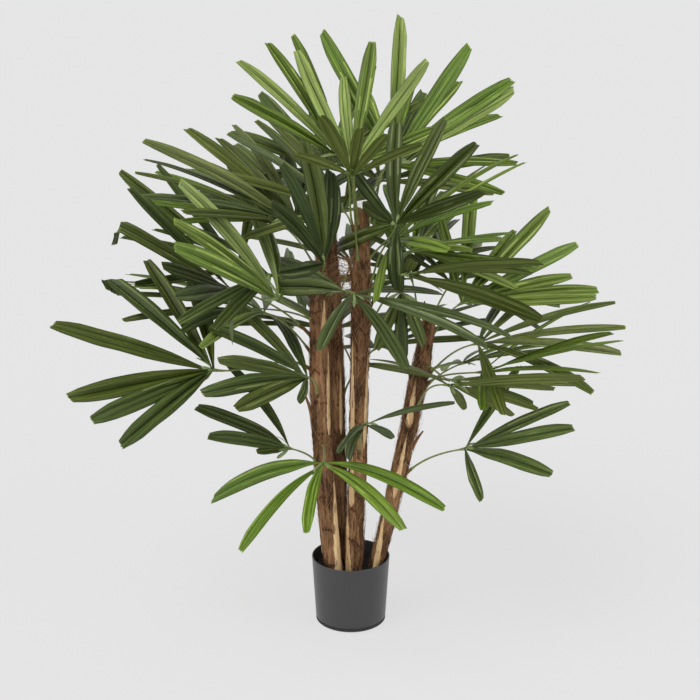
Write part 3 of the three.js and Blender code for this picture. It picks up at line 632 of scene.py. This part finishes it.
# How each part of a pleat differs from its leaf's first green: times this, plus this. The rib is a
# paler vein with painted highlight on the crest, the groove is painted shade in the crease, and the
# sheen is a painted highlight.
PART_TONES = {
    "rib": ((1.3, 1.25, 1.3), (0.012, 0.012, 0.008)),
    "groove": ((0.34, 0.37, 0.32), (0, 0, 0)),
    "under side": ((1.25, 1.2, 1.4), (0.004, 0.005, 0.003)),
    "sheen": ((1.6, 1.5, 1.6), (0.055, 0.055, 0.042)),
}
LEAF_GRAIN = dict(along="Grain", shine=0.22, mottle=(300, 7, 1))
leaf_finishes = {}
for tone, greens in LEAF_TONES.items():
    finishes = [
        grained_finish(f"{tone} {side} {i + 1}", tuple(LIGHT_GRAIN * lit * g for g in green),
                       tuple(DARK_GRAIN * lit * g for g in green), 0.42, (1400, 30, 1), depth=0.00025,
                       pale=tuple(lit * (SHEEN_STREAK_TIMES * g + SHEEN_STREAK_PLUS) for g in green), **LEAF_GRAIN)
        for side, lit in (("blade", LIT_SIDE), ("shaded side", SHADED_SIDE)) for i, green in enumerate(greens)
    ]
    for part, (times, plus) in PART_TONES.items():
        colour = [g * gain + more for g, gain, more in zip(greens[0], times, plus)]
        finishes.append(grained_finish(
            f"{tone} {part}", tuple(PART_LIGHT * c for c in colour), tuple(PART_DARK * c for c in colour),
            0.5, (900, 30, 1), depth=0.0001, **LEAF_GRAIN))
    leaf_finishes[tone] = finishes
# Finish numbers: the shaded copies come after the greens; then the rib's paler vein with painted highlight,
# the painted groove shade, the under side and the painted sheen.
GREENS, RIB_VEIN_AND_HIGHLIGHT, GROOVE_SHADE, UNDER, SHEEN = 4, 8, 9, 10, 11
SHEEN_STRIPS = (2, 3)
SHEEN_BEGINS, SHEEN_ENDS, SHEEN_FRAY = (2, 9), (10, 20), 3


def fan_axes(pan, rise, roll):
    """A fan's own directions: ahead along its middle, across it, and the face of its blades."""
    pan, rise, roll = math.radians(pan), math.radians(rise), math.radians(roll)
    ahead = np.array([math.cos(rise) * math.cos(pan), math.cos(rise) * math.sin(pan), math.sin(rise)])
    level = np.array([-math.sin(pan), math.cos(pan), 0])
    face = np.cross(ahead, level) * math.cos(roll) + level * math.sin(roll)
    return ahead, np.cross(face, ahead), face


def blade_place(hub, axes, leaf, run, aside, lift, twist_share):
    """Where points of a blade go, in millimetres; run, aside and lift are arrays."""
    fan_ahead, fan_across, fan_face = axes
    bearing = math.radians(leaf["bearing"])
    ahead = fan_ahead * math.cos(bearing) + fan_across * math.sin(bearing)
    level = np.cross(fan_face, ahead)
    turn = math.radians(leaf["bend"]) * run / leaf["length"]
    turn = np.where(np.abs(turn) < 1e-6, 1e-6, turn)
    reach, drop = run * np.sin(turn) / turn, run * (1 - np.cos(turn)) / turn
    turned = math.radians(leaf["twist"]) * twist_share
    face = fan_face * np.cos(turned)[..., None] + level * np.sin(turned)[..., None]
    aside_axis = np.cross(face, ahead)
    return (hub + ahead * reach[..., None] - fan_face * drop[..., None]
            + aside_axis * aside[..., None] + face * lift[..., None])


def blade_layer(leaf):
    rib = max(BLADE_RIB_LEAST, BLADE_RIB_PER_LENGTH * leaf["length"])
    return -rib - BLADE_LAYER_GAP if leaf["lower"] else 0.0


def pleated_section(pleats):
    """Columns across a blade from -0.5 to 0.5, their heights from 0 to 1, and the finish after each."""
    columns = [((pleat + share) / pleats - 0.5, tall, part)
               for pleat in range(pleats) for share, tall, part in PLEAT_STRIPS]
    columns.append((0.5, 0.0, "blade"))
    across, heights, parts = zip(*columns)
    return np.array(across), np.array(heights), parts[:-1]


def blade_mesh(hub, axes, leaf, rng, small=False):
    """Points, facets, finish numbers and grain marks of one leaflet, a closed thin shell."""
    length = leaf["length"]
    pleats = 1 if small else leaf["pleats"]
    across, heights, parts = pleated_section(pleats)
    t = SMALL_ROWS if small else BLADE_ROWS
    rows, cols = len(t), len(across)
    t, u = np.meshgrid(t, across, indexing="ij")
    notch = np.where(heights < 0.01, rng.uniform(*NOTCH_AT_GROOVE, cols), rng.uniform(*NOTCH_BESIDE, cols))
    notch[[0, -1]] = rng.uniform(*NOTCH_AT_CORNER, 2)
    teeth = notch + rng.uniform(-TIP_SLANT, TIP_SLANT) * across
    run = BLADE_ROOT + t * (length * (1 - teeth * t ** 10) - BLADE_ROOT)
    full = BLADE_SMALL_WIDTH if small else (BLADE_WIDTH + BLADE_WIDTH_PER_LENGTH * length) * leaf["wide"]
    edges = [np.interp(t, np.linspace(0, 1, EDGE_WAVES), rng.uniform(-EDGE_UNEVEN, EDGE_UNEVEN, EDGE_WAVES))
             for _ in range(2)]
    width = full * np.interp(t, *zip(*BLADE_OUTLINE)) * rng.uniform(*BLADE_WIDTHS)
    width = width * (1 + np.where(u < 0, *edges))
    sway = rng.normal(0, BLADE_SWAY) * length * t ** 2
    ripple = rng.normal(0, BLADE_RIPPLE) * np.sin(t * math.pi * rng.uniform(*BLADE_RIPPLES)) * t
    pleat = PLEAT_DEPTH * width / pleats * heights[None, :] * np.interp(t, *PLEAT_ALONG)
    slope = np.clip(rng.normal(BLADE_GUTTER, BLADE_GUTTER_SPREAD), *BLADE_GUTTER_LIMITS)
    gutter = math.tan(math.radians(slope)) * np.interp(t, *GUTTER_ALONG)
    lift = blade_layer(leaf) + pleat + np.abs(u) * width * gutter + ripple
    if leaf.get("turned_over"):
        crease = length * (leaf["turned_over"] + CREASE_SLANT * u)
        past = np.maximum(0, run - crease)
        over = 1 - np.exp(-past / TURN_ROUND)
        run = run - past + past * np.cos(TURN_OVER * over)
        lift = lift - past * np.sin(TURN_OVER * over)
    twist_share = np.minimum(1, t / BLADE_TWIST_OVER) * (1 + BLADE_TWIST_WANDER * rng.normal() * t)
    points = np.concatenate([
        blade_place(hub, axes, leaf, run, u * width + sway, height, twist_share).reshape(-1, 3)
        for height in (lift, lift - BLADE_THICK)
    ])
    facets = slab_facets(rows, cols)
    r, c = grid_of(rows - 1, cols - 1)
    tints = np.full(len(facets), leaf["tint"])
    if not small:
        # Painted shade: the shade strips take the darker copy of the leaf's green, the grooves the groove
        # shade, and under each rib the groove shade again. The tip row takes the rib's paler vein colour with
        # its painted highlight.
        above = dict(blade=leaf["tint"], shade=leaf["tint"] + GREENS, rib=RIB_VEIN_AND_HIGHLIGHT, groove=GROOVE_SHADE)
        below = dict(blade=UNDER, shade=UNDER, rib=GROOVE_SHADE, groove=UNDER)
        tints[:len(r)] = np.where(r == rows - 2, RIB_VEIN_AND_HIGHLIGHT, np.array([above[part] for part in parts])[c])
        tints[len(r):2 * len(r)] = np.array([below[part] for part in parts])[c]
        # On pleats picked at random the crest and the strip beside it have a painted highlight, a pale sheen
        # along a part of its length.
        strips = len(PLEAT_STRIPS)
        begins = np.repeat(rng.uniform(*SHEEN_BEGINS, pleats), strips) + rng.uniform(0, SHEEN_FRAY, cols - 1)
        ends = np.repeat(rng.uniform(*SHEEN_ENDS, pleats), strips) - rng.uniform(0, SHEEN_FRAY, cols - 1)
        shines = (rng.random(pleats) < leaf["sheen"])[c // strips]
        shines &= np.isin(c % strips, SHEEN_STRIPS) & (r > begins[c]) & (r < ends[c])
        tints[:len(r)][shines] = SHEEN
    marks = np.stack([u * width, run], -1).reshape(-1, 2) / 1000 + rng.uniform(0, 1, 2)
    return points / 1000, facets, tints, np.concatenate([marks, marks])


# Fronds: each fan of leaflets springs from a hub on a wire stalk, which leaves a stem between
# layers of the wrapping. The stalk is plastic over the wire, with a sheath of brown fibre at its
# foot and short pale bracts round the hub.

# The rows are in millimetres and degrees: where each stalk starts, where its fan opens and how it
# is turned, and each leaflet's bearing and length. A turned leaflet has its tip folded over. An
# opened one is turned, widened and bent further. A low one hangs from the hub, and has its
# bearing, length, bend, twist and width.
FRONT_FRONDS = [
    dict(stem="a", start=490, hub=(-250, -120, 560), pan=-170, rise=26, roll=26,
         bend=5, twist=18, wide=1.15, tone="dark", turned=2,
         leaves=[(-75, 320), (-55, 285), (-35, 295), (7, 304), (39, 320), (49, 300), (60, 290)]),
    dict(stem="a", start=440, hub=(-80, -90, 535), pan=-145, rise=30, roll=30,
         twist=22, wide=1.2, tone="dark",
         leaves=[(-95, 230), (-60, 230), (-20, 210), (8, 209), (25, 287), (35, 245), (60, 85)]),
    dict(stem="a", start=310, hub=(-116, -60, 384), pan=-150, rise=40, roll=40,
         bend=24, twist=18, wide=1.15, tone="dark",
         leaves=[(-50, 210), (0, 210), (20, 195), (30, 80)]),
    dict(stem="a", start=340, hub=(-50, -150, 390), pan=-95, rise=3, roll=-12,
         bend=32, cup=-28, wide=1.05, tone="fresh", opened={0: (14, 1.45, -7)},
         leaves=[(-114, 278), (-35, 262), (-5, 220), (35, 264), (56, 279)]),
    dict(stem="a", start=690, hub=(-49, -110, 758), pan=-120, rise=70, roll=75,
         twist=12, wide=1.3, tone="deep", opened={0: (50, 1.3, 0), 1: (30, 1.1, 0)},
         leaves=[(-68, 210), (-31, 222), (3, 218), (27, 212), (62, 185)]),
    dict(stem="a", start=590, hub=(-130, -100, 687), pan=175, rise=65, roll=5,
         twist=22, wide=1.1, tone="young",
         leaves=[(-85, 280), (-65, 280), (-40, 320), (15, 290), (40, 305), (52, 330)]),
    dict(stem="a", start=560, hub=(-222, -40, 690), pan=-125, rise=30, roll=35,
         bend=0, twist=22, wide=1.1, tone="dark", turned=1,
         leaves=[(-43, 262), (-13, 335), (11, 260), (25, 290), (50, 275)]),
    dict(stem="a", start=645, hub=(-10, -120, 707), pan=125, rise=5, roll=0, twist=15, tone="grey",
         opened={1: (35, 1.2, 0), 2: (45, 1.9, 0)},
         leaves=[(-57, 195), (0, 225), (18, 145)]),
    dict(stem="b", start=560, hub=(-210, 100, 615), pan=-150, rise=12, roll=0, twist=15, tone="dark",
         leaves=[(-40, 255), (10, 275), (25, 230)]),
    dict(stem="b", start=640, hub=(-217, 90, 697), pan=-173, rise=47, roll=78, twist=35, tone="dark",
         leaves=[(-60, 190), (-8, 250), (4, 290), (50, 200)]),
    dict(stem="b", start=700, hub=(-95, 30, 790), pan=156, rise=47, roll=0,
         twist=15, wide=1.1, tone="olive",
         leaves=[(-49, 290), (-31, 305), (-8, 240), (8, 283), (30, 336), (54, 210)]),
    dict(stem="c", start=640, hub=(5, -170, 718), pan=-30, rise=-6, roll=3, twist=-18, tone="grey",
         leaves=[(-73, 255), (-40, 270), (5, 262), (32, 295), (79, 257)]),
    dict(stem="c", start=770, hub=(-25, 20, 929), pan=-171, rise=57, roll=45, twist=10, tone="bright",
         leaves=[(-27, 243), (-10, 240), (8, 252), (28, 236)]),
    dict(stem="c", start=780, hub=(2, -60, 923), pan=86, rise=67, roll=0, tone="bright",
         leaves=[(-62, 170), (-33, 245), (-8, 244), (9, 175), (33, 252)]),
    dict(stem="c", start=760, hub=(75, -20, 924), pan=37, rise=51, roll=-55, tone="bright",
         leaves=[(-28, 283), (-23, 290), (-3, 275), (26, 287), (59, 275)]),
    dict(stem="c", start=720, hub=(80, -140, 836), pan=108, rise=53, roll=73,
         twist=-15, cup=20, wide=1.15, tone="deep", turned=3, opened={3: (-30, 1.15, 0), 7: (38, 1.5, 0)},
         leaves=[(-100, 225), (-80, 235), (-55, 210), (-10, 210), (35, 240), (54, 155),
                 (71, 245), (143, 120)]),
    dict(stem="c", start=650, hub=(98, -160, 750), pan=-17, rise=16, roll=32,
         twist=20, wide=1.1, tone="dark",
         leaves=[(-63, 110), (-4, 252), (17, 221), (59, 317)]),
    dict(stem="c", start=650, hub=(94, 80, 725), pan=5, rise=18, roll=12, twist=-20, tone="young",
         leaves=[(-40, 170), (-20, 205), (-4, 215), (14, 210), (40, 185), (66, 170)]),
    dict(stem="c", start=350, hub=(28, -140, 462), pan=-77, rise=18, roll=-15, cup=45, tone="grey",
         leaves=[(-32, 170), (3, 150), (84, 170)], low_leaves=[(-56, 90, 60, 81, 1.7)]),
    dict(stem="d", start=440, hub=(179, -130, 534), pan=-11, rise=6, roll=38, twist=20, tone="olive",
         leaves=[(-110, 270), (-20, 270), (-8, 200), (28, 175), (52, 165), (80, 100)]),
    dict(stem="d", start=490, hub=(244, -60, 536), pan=-35, rise=25, roll=-19, twist=42, tone="bright",
         leaves=[(-69, 150), (-14, 270), (5, 285), (12, 265), (64, 290)]),
    dict(stem="d", start=570, hub=(211, 40, 641), pan=30, rise=32, roll=-40,
         twist=-8, wide=0.95, tone="young",
         leaves=[(-40, 262), (-34, 275), (-24, 230), (-13, 270), (6, 285), (14, 205), (41, 300), (61, 200)]),
    dict(stem="d", start=310, hub=(216, -60, 383), pan=-31, rise=30, roll=-25,
         bend=5, twist=-18, tone="olive",
         leaves=[(-63, 191), (-31, 266), (-12, 265), (9, 231), (73, 235)]),
    dict(stem="d", start=530, hub=(185, -60, 520), pan=-19, rise=-6, roll=-17, bend=10, tone="olive",
         leaves=[(-54, 78), (-2, 161), (26, 253), (172, 177)]),
    dict(stem="c", start=600, hub=(92, -60, 690), pan=-90, rise=-65, roll=0,
         bend=10, wide=1.3, tone="dark",
         leaves=[(-24, 115), (0, 133), (25, 106)]),
    dict(stem="c", start=700, hub=(2, -110, 916), pan=-85, rise=55, roll=0, wide=1.15, tone="olive",
         leaves=[(-55, 125), (-19, 187), (3, 133), (24, 131), (50, 150)]),
]
# Each row: the stem, where the stalk starts, pan, reach and climb.
BACK_FRONDS = [
    ("b", 730, 95, 150, 45),
    ("c", 790, 60, 120, 35),
    ("c", 700, 75, 190, 40),
    ("b", 660, 120, 170, 28),
    ("a", 700, 145, 110, 25),
    ("d", 590, 65, 130, 15),
    ("d", 540, 95, 190, 25),
    ("c", 620, 50, 170, 25),
    ("b", 590, 80, 200, 10),
    ("b", 520, 150, 190, 10),
    ("d", 460, 45, 140, 5),
    ("c", 500, 110, 160, 10),
    ("b", 420, 60, 160, 15),
    ("a", 520, 160, 120, 20),
    ("c", 740, 130, 70, 40),
    ("a", 640, -150, 110, 15),
    ("c", 680, -30, 100, 45),
    ("d", 500, 0, 120, 20),
    ("a", 730, -170, 90, 30),
]
BACK_LEAVES = 7
BACK_FAN = 150
BACK_LENGTH = 290
BACK_TONES = ["dark", "bright", "olive"]
BACK_SHORTER = 0.25
BACK_LIFT = 40
BACK_RISE = 0.9
# The ways in which a leaflet may stand off its neighbours: more bend, a swing, and a shorter cut.
WAYS = [(bend, swing, 1) for bend in (0, 8, -8, 16, -16, 24) for swing in (0, 4, -4, 8, -8, 13, -13)]
WAYS += [(bend, 0, cut) for cut in (0.85, 0.7) for bend in (0, 10, -10, 20)]
TIP_SHARE = 0.4
TIP_RIB = 0.6
SAME_PLACE = 1.0
PLEAT_COUNTS = [2, 2, 3]
SHEEN_CHANCES = [0, 0.2, 0.9]
TURNED_SHARE = 0.04
TURNED_FROM = (0.84, 0.93)
LOW_PLEATS, LOW_SHEEN = 3, 0.2
PETIOLE_ROOT = 10
STALK_LEAVES, STALK_RISES = 0.22, 0.3
STALK_MEETS, STALK_MEETS_OUT = 0.2, 0.15
STALK_STEPS = 30
STALK_SIDES = 8
SHEATH_SHARE = 0.2
STALK_GIRTH = ([0, SHEATH_SHARE, SHEATH_SHARE + 0.06, 0.9, 0.97, 1], [4.4, 3.0, 2.0, 1.6, 2.8, 3.6])
BRACTS = 4
BRACT_SPREAD, BRACT_LENGTH, BRACT_BEND, BRACT_TWIST = 70, (22, 44), (10, 60), 30
BRACT_HEIGHT = (-1, 2.5)
stalk_tones = [
    grained_finish("leaf stalk", (0.200, 0.235, 0.060), (0.120, 0.160, 0.040), 0.42, (260, 260, 20),
                   depth=0.0001),
    grained_finish("stalk sheath", (0.200, 0.110, 0.052), (0.075, 0.038, 0.018), 0.85, (330, 330, 26),
                   depth=0.0005, shine=0.15),
    grained_finish("young bract", (0.230, 0.290, 0.110), (0.150, 0.215, 0.070), 0.5, (1200, 30, 1),
                   depth=0.0001, along="Grain"),
]
STALK, SHEATH, BRACT = range(3)
seed = 20


def spread(size):
    """The next seeded number from -size to size, in the same order as the frame's."""
    global seed
    seed = (seed * 1664525 + 1013904223) % 4294967296
    return (2 * seed / 4294967296 - 1) * size


def stem_share(stem, start):
    foot = STEM_FOOT * 1000
    return (start - foot) / (STEMS[stem]["tip"][2] - foot)


fronds = list(FRONT_FRONDS)
for number, (stem, start, pan, reach, climb) in enumerate(BACK_FRONDS):
    root = stem_centre(stem, stem_share(stem, start)) * 1000
    slope, way = math.radians(climb), math.radians(pan)
    flat = reach * math.cos(slope)
    leaves = []
    for i in range(BACK_LEAVES):
        place = 2 * i / (BACK_LEAVES - 1) - 1
        length = BACK_LENGTH * (1 - BACK_SHORTER * place * place) + spread(15)
        leaves.append((place * BACK_FAN / 2 + spread(5), length))
    fronds.append(dict(
        stem=stem, start=start, tone=BACK_TONES[number % 3], leaves=leaves,
        hub=(root[0] + flat * math.cos(way), root[1] + flat * math.sin(way),
             root[2] + BACK_LIFT + reach * math.sin(slope)),
        pan=pan + spread(10), rise=climb * BACK_RISE, roll=spread(25),
    ))


def leaf_tip(hub, axes, leaf):
    """The three corners of a leaflet's blunt end in the frame."""
    width = (BLADE_WIDTH + BLADE_WIDTH_PER_LENGTH * leaf["length"]) * leaf["wide"] * TIP_SHARE
    rib = max(BLADE_RIB_LEAST, BLADE_RIB_PER_LENGTH * leaf["length"])
    run, one = np.full(3, float(leaf["length"])), np.ones(3)
    aside = np.array([-0.5, 0.5, 0]) * width
    lift = blade_layer(leaf) + np.array([0, 0, 1]) * rib * TIP_RIB
    return blade_place(hub, axes, leaf, run, aside, lift, one)


def stalk_path(frond, steps):
    """The middle line of a stalk in millimetres, from inside its stem to the hub."""
    at = stem_share(frond["stem"], frond["start"])
    root, hub = stem_centre(frond["stem"], at) * 1000, np.array(frond["hub"], float)
    out = (hub - root) * [1, 1, 0]
    out /= np.linalg.norm(out)
    reach = np.linalg.norm(hub - root)
    ahead = fan_axes(frond["pan"], frond["rise"], frond["roll"])[0]
    start = root + out * (stem_radius(frond["stem"], at) * 1000 - PETIOLE_ROOT)
    first = start + out * reach * STALK_LEAVES + np.array([0, 0, 1]) * reach * STALK_RISES
    second = hub - ahead * reach * STALK_MEETS - out * reach * STALK_MEETS_OUT
    t = np.linspace(0, 1, steps)[:, None]
    return ((1 - t) ** 3 * start + 3 * t * (1 - t) ** 2 * first
            + 3 * t * t * (1 - t) * second + t ** 3 * hub)


def joined(shells, first=0):
    """Points, facets, finish numbers and marks of several shells in one, counting corners from first."""
    starts = first + np.cumsum([0] + [len(shell[0]) for shell in shells])
    facets = np.concatenate([shell[1] + start for shell, start in zip(shells, starts)])
    points, _, tints, marks = [np.concatenate(parts) for parts in zip(*shells)]
    return points, facets, tints, marks


for number, frond in enumerate(fronds, 1):
    name = f"frond_{frond['stem']}{number:02d}"
    rng = np.random.default_rng(300 + number)
    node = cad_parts[name].data
    corners = np.empty(len(node.vertices) * 3)
    node.vertices.foreach_get("co", corners)
    corners = corners.reshape(-1, 3) * 1000
    hub = np.array(frond["hub"], float)
    axes = fan_axes(frond["pan"], frond["rise"], frond["roll"])
    blades = []
    for place, (bearing, length) in enumerate(frond["leaves"]):
        bend = frond.get("bend", 14) + spread(4)
        twist = frond.get("twist", 0) + frond.get("cup", 0) * bearing / 90 + spread(5)
        tried = [
            dict(bearing=bearing + swing, length=length * cut, bend=bend + more, twist=twist,
                 wide=frond.get("wide", 1), lower=place % 2 == 1)
            for more, swing, cut in WAYS
        ]
        # The solid shows which way was taken, if two of the three tip corners are among its own.
        off = [
            np.sort(np.linalg.norm(leaf_tip(hub, axes, leaf)[:, None] - corners[None], axis=2).min(1))[1]
            for leaf in tried
        ]
        if min(off) < SAME_PLACE:
            leaf = tried[int(np.argmin(off))]
            leaf.update(tint=int(rng.integers(0, GREENS)), pleats=int(rng.choice(PLEAT_COUNTS)),
                        sheen=rng.choice(SHEEN_CHANCES))
            turn, wider, more = frond.get("opened", {}).get(place, (0, 1, 0))
            leaf.update(wide=leaf["wide"] * wider, twist=leaf["twist"] + turn, bend=leaf["bend"] + more)
            chance = rng.random()
            if place == frond.get("turned") or (number > len(FRONT_FRONDS) and chance < TURNED_SHARE):
                leaf["turned_over"] = rng.uniform(*TURNED_FROM)
            blades.append(blade_mesh(hub, axes, leaf, rng))
    for bearing, length, bend, twist, wide in frond.get("low_leaves", []):
        leaf = dict(bearing=bearing, length=length, bend=bend, twist=twist, wide=wide, lower=False,
                    tint=int(rng.integers(0, GREENS)), pleats=LOW_PLEATS, sheen=LOW_SHEEN)
        blades.append(blade_mesh(hub, axes, leaf, rng))
    points, facets, tints, marks = joined(blades)
    fan = make_piece(f"leaves_{number:02d}", points, [facets], leaf_finishes[frond["tone"]],
                     finish_of=tints, marks=marks, sharp=70)
    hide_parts(name)

    # The stalk is sheathed in brown fibre where it leaves the wrapping. Short pale bracts and a
    # small knob hold the leaflets' roots at its end.
    path = stalk_path(frond, STALK_STEPS)
    way = np.linspace(0, 1, STALK_STEPS)
    tube, tube_facets, tube_ends = strand_tubes(
        path[None] / 1000, np.interp(way, *STALK_GIRTH)[None] / 1000, STALK_SIDES)
    tube_tints = np.repeat(np.where(way[:-1] < SHEATH_SHARE, SHEATH, STALK), STALK_SIDES)
    bracts = []
    for _ in range(BRACTS):
        leaf = dict(bearing=rng.uniform(-BRACT_SPREAD, BRACT_SPREAD), length=rng.uniform(*BRACT_LENGTH),
                    bend=rng.uniform(*BRACT_BEND), twist=rng.uniform(-BRACT_TWIST, BRACT_TWIST), lower=False,
                    tint=BRACT)
        bracts.append(blade_mesh(hub + axes[2] * rng.uniform(*BRACT_HEIGHT), axes, leaf, rng, small=True))
    points, facets, tints, marks = joined(bracts, len(tube))
    stalk = make_piece(
        f"stalk_{number:02d}", np.concatenate([tube, points]), [tube_facets, facets, tube_ends], stalk_tones,
        finish_of=np.concatenate([tube_tints, tints, [SHEATH, STALK]]),
        marks=np.concatenate([np.zeros((len(tube), 2)), marks]), sharp=60)
    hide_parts(name)
